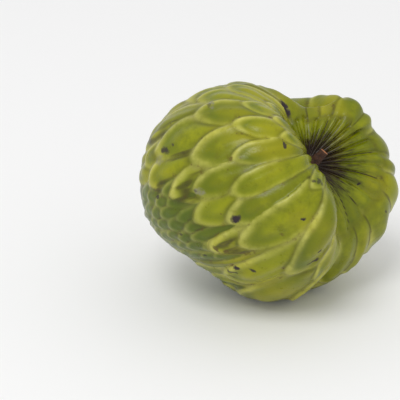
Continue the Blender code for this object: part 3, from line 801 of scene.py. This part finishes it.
    # colours laid one over another on the olive ground
    colour = linear(look["olive"])
    for name, share in (
            ("belly", tone), ("yellow", yellow), ("deepOliveShade", dishGreenAndShade), ("deepOliveShade", blossomShade),
            ("deepOliveShade", smallScaleShade), ("ridge", ridge), ("paintedSheen", paintedSheen), ("creaseShade", creaseShade),
            ("rust", stain), ("deepOliveShade", hollowShade), ("hollowBrownShade", brownAndShade), ("rust", freckle),
            ("dust", dust), ("rust", rust), ("bruise", groups["bruise"])):
        colour = addNode(tree, "ShaderNodeMix", {0: share, 6: colour, 7: linear(look[name])}, 2,
                         data_type="RGBA")
    tree.links.new(colour, shader.inputs["Base Color"])

    # waxy sheen, duller on bruises and in the throat, over fine pores
    marked = addNode(tree, "ShaderNodeMath MAXIMUM", [groups["bruise"], throat])
    rough = addNode(tree, "ShaderNodeMath MULTIPLY_ADD", [mottle, 0.16, look["roughness"] - 0.08])
    rough = addNode(tree, "ShaderNodeMath MULTIPLY_ADD", [marked, 0.25, rough])
    tree.links.new(rough, shader.inputs["Roughness"])
    shader.inputs["Specular IOR Level"].default_value = look["specular"]
    relief = addNode(tree, "ShaderNodeMath MULTIPLY_ADD", [follow["pores"], 0.35, mottle])
    bump = addNode(tree, "ShaderNodeBump", {
        "Strength": 0.6, "Distance": look["reliefDeep"] * mm, "Height": relief})
    tree.links.new(bump, shader.inputs["Normal"])


def markFrame(azimuth, at, swing):
    # across, along and out of the skin at a mark, and its place in mm, all as the fruit lies
    phi, t = np.array([math.radians(azimuth)]), np.array([at])
    out = outwardAt(phi, t)[0]
    up = (smoothBody(phi, t + 1e-3)[0] - smoothBody(phi, t - 1e-3)[0])[0]
    up /= np.linalg.norm(up)
    side = np.cross(up, out)
    c, s = math.cos(math.radians(swing)), math.sin(math.radians(swing))
    axes = (c * side - s * up, s * side + c * up, out, smoothBody(phi, t)[0][0])
    return [turned @ axis for axis in axes]


tips, tipCount = tipMesh()
tipHolder = bpy.data.objects.new("scaleTips", tips)
bpy.context.scene.collection.objects.link(tipHolder)
rind = bpy.data.materials.new("waxyFruitRind")
inputs = dict(scaleSizes, Tips=tipHolder, Count=tipCount, Skin=rind)
skinMesh = dressed(bodyMesh(), scaleTree(), inputs, "skin")
bpy.data.objects.remove(tipHolder, do_unlink=True)
moved = settle(skinMesh)
rindMaterial(rind, moved)
skinMesh.polygons.foreach_set("use_smooth", [True] * len(skinMesh.polygons))
skin = bpy.data.objects.new("skin", skinMesh)
bpy.context.scene.collection.objects.link(skin)
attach(skin, "root")
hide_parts("fruit")
print("skin built:", tipCount, "scales,", len(skinMesh.vertices), "points")

# short woody stub of the stalk: flared foot, ribbed bark, pale cut end
stalkShape = {
    "line": ((-1.8, -2.4, 24.45), (-1.9, -2.7, 28.0), (-3.3, -4.3, 31.5)),   # mm along the fruit's own axes
    "radius": ((0, 3.2), (0.12, 2.8), (0.3, 2.3), (0.6, 2.0), (0.9, 2.05), (1, 1.95)),
    "rings": 40,
    "sides": 64,
    "ribs": 0.16,
    "knobs": 0.3,
}
stalkLook = {
    "bark": "301A0E",
    "barkPale": "523018",
    "cut": "C78A5A",
    "cutDark": "8A5030",
    "grainSize": 1.111,   # mm, drawn coarser than real bark to show
    "grainDeep": 0.15,
    "roughness": 0.75,
}


def stalkMesh():
    s = stalkShape
    first, second, third = (np.array(p) for p in s["line"])
    mesh = bpy.data.meshes.new("stalk")
    bm = bmesh.new()
    cut = bm.verts.layers.float.new("cut")
    rows = []
    side = np.array((1.0, 0.0, 0.0))
    steps = [(u, 1.0, 0.0) for u in np.linspace(0, 1, s["rings"])]
    steps = [(0.0, q, 0.0) for q in (0.25, 0.6)] + steps + [(1.0, q, 1.0) for q in (0.93, 0.7, 0.4, 0.15)]
    for u, share, isCut in steps:
        centre = (1 - u) ** 2 * first + 2 * u * (1 - u) * second + u ** 2 * third
        ahead = 2 * (1 - u) * (second - first) + 2 * u * (third - second)
        ahead /= np.linalg.norm(ahead)
        across = np.cross(ahead, side)
        across /= np.linalg.norm(across)
        over = np.cross(across, ahead)
        ring = []
        for k in range(s["sides"]):
            angle = 2 * math.pi * k / s["sides"]
            way = math.cos(angle) * over + math.sin(angle) * across
            rib = noise.noise(Vector((math.cos(angle) * 2.2, math.sin(angle) * 2.2, u * 0.8 + 3)))
            knob = noise.noise(Vector(tuple(way * 0.9 + centre * 0.35)))
            radius = ramp(s["radius"], u) + s["ribs"] * rib + s["knobs"] * knob * (1 if u < 0.95 else 0.6)
            push = -0.12 * (1 - share) + 0.05 * rib if isCut else 0
            point = centre + way * radius * share + ahead * push
            vert = bm.verts.new(turned @ point * mm + moved)
            vert[cut] = isCut
            ring.append(vert)
        rows.append(ring)
    for low, high in zip(rows, rows[1:]):
        for k in range(s["sides"]):
            n = (k + 1) % s["sides"]
            bm.faces.new((low[k], low[n], high[n], high[k]))
    bm.faces.new(rows[0][::-1])
    bm.faces.new(rows[-1])
    bmesh.ops.recalc_face_normals(bm, faces=bm.faces)
    for face in bm.faces:
        face.smooth = True
    bm.to_mesh(mesh)
    bm.free()
    return mesh


def barkMaterial():
    # dry dark bark in fine lengthwise ribs; the cut end is paler bare wood
    look = stalkLook
    material = bpy.data.materials.new("dryStalkBark")
    material.use_nodes = True
    tree = material.node_tree
    shader = tree.nodes["Principled BSDF"]
    spot = addNode(tree, "ShaderNodeTexCoord", give="Object")
    cut = addNode(tree, "ShaderNodeAttribute", give="Fac", attribute_name="cut")
    grain = addNode(tree, "ShaderNodeTexNoise", {
        "Vector": spot, "Scale": 1000 / look["grainSize"], "Detail": 5.0, "Roughness": 0.65})
    share = addNode(tree, "ShaderNodeMapRange", [grain, 0.38, 0.68])
    tones = []
    for dark, pale in (("bark", "barkPale"), ("cutDark", "cut")):
        tones.append(addNode(tree, "ShaderNodeMix", {
            0: share, 6: linear(look[dark]), 7: linear(look[pale])}, 2, data_type="RGBA"))
    colour = addNode(tree, "ShaderNodeMix", {0: cut, 6: tones[0], 7: tones[1]}, 2, data_type="RGBA")
    tree.links.new(colour, shader.inputs["Base Color"])
    shader.inputs["Roughness"].default_value = look["roughness"]
    bump = addNode(tree, "ShaderNodeBump", {
        "Strength": 0.7, "Distance": look["grainDeep"] * mm, "Height": grain})
    tree.links.new(bump, shader.inputs["Normal"])
    return material


stalk = bpy.data.objects.new("stalk", stalkMesh())
stalk.data.materials.append(barkMaterial())
bpy.context.scene.collection.objects.link(stalk)
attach(stalk, "root")
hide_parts("stem")
print("stalk built")

# studio: pale floor, soft box above, camera looking a little down
studio = {
    "azimuth": 26.7,
    "elevation": 25.0,
    "distance": 0.8,
    "lens": 36 * 0.8 / 0.176,
    "right": -0.0304,
    "up": -0.0053,
    "floor": "F0F0F0",
    "world": 0.80,
    "key": 18.0,
    "keySize": 0.9,
    "keyAt": (-0.5, 1.35, 1.2),   # right, up, toward the camera
}
a, e = math.radians(studio["azimuth"]), math.radians(studio["elevation"])
back = Vector((math.sin(a) * math.cos(e), -math.cos(a) * math.cos(e), math.sin(e)))
facing = back.to_track_quat("Z", "Y")
rightward, upward = facing @ Vector((1, 0, 0)), facing @ Vector((0, 1, 0))
middle = Vector(moved)

camera = bpy.data.objects.new("camera", bpy.data.cameras.new("camera"))
bpy.context.scene.collection.objects.link(camera)
aim = middle + rightward * studio["right"] + upward * studio["up"]
camera.location = aim + back * studio["distance"]
camera.rotation_euler = facing.to_euler()
camera.data.sensor_width = 36
camera.data.lens = studio["lens"]
bpy.context.scene.camera = camera

world = bpy.data.worlds.new("studio")
bpy.context.scene.world = world
world.use_nodes = True
world.node_tree.nodes["Background"].inputs["Color"].default_value = (1, 1, 1, 1)
world.node_tree.nodes["Background"].inputs["Strength"].default_value = studio["world"]
bpy.context.scene.view_settings.view_transform = "Standard"

bm = bmesh.new()
bmesh.ops.create_grid(bm, x_segments=1, y_segments=1, size=3)
floorMesh = bpy.data.meshes.new("floor")
bm.to_mesh(floorMesh)
bm.free()
floor = bpy.data.objects.new("floor", floorMesh)
bpy.context.scene.collection.objects.link(floor)
# matt paper, pale and without a glare
paper = bpy.data.materials.new("palePaper")
paper.use_nodes = True
paper.node_tree.nodes["Principled BSDF"].inputs["Base Color"].default_value = linear(studio["floor"])
paper.node_tree.nodes["Principled BSDF"].inputs["Roughness"].default_value = 0.9
floorMesh.materials.append(paper)

key = bpy.data.lights.new("key", "AREA")
key.size = studio["keySize"]
key.energy = studio["key"]
keyLamp = bpy.data.objects.new("key", key)
bpy.context.scene.collection.objects.link(keyLamp)
x, z, y = studio["keyAt"]
keyLamp.location = middle + rightward * x + Vector((0, 0, z)) + back * y
keyLamp.rotation_euler = (keyLamp.location - middle).to_track_quat("Z", "Y").to_euler()
print("studio built")
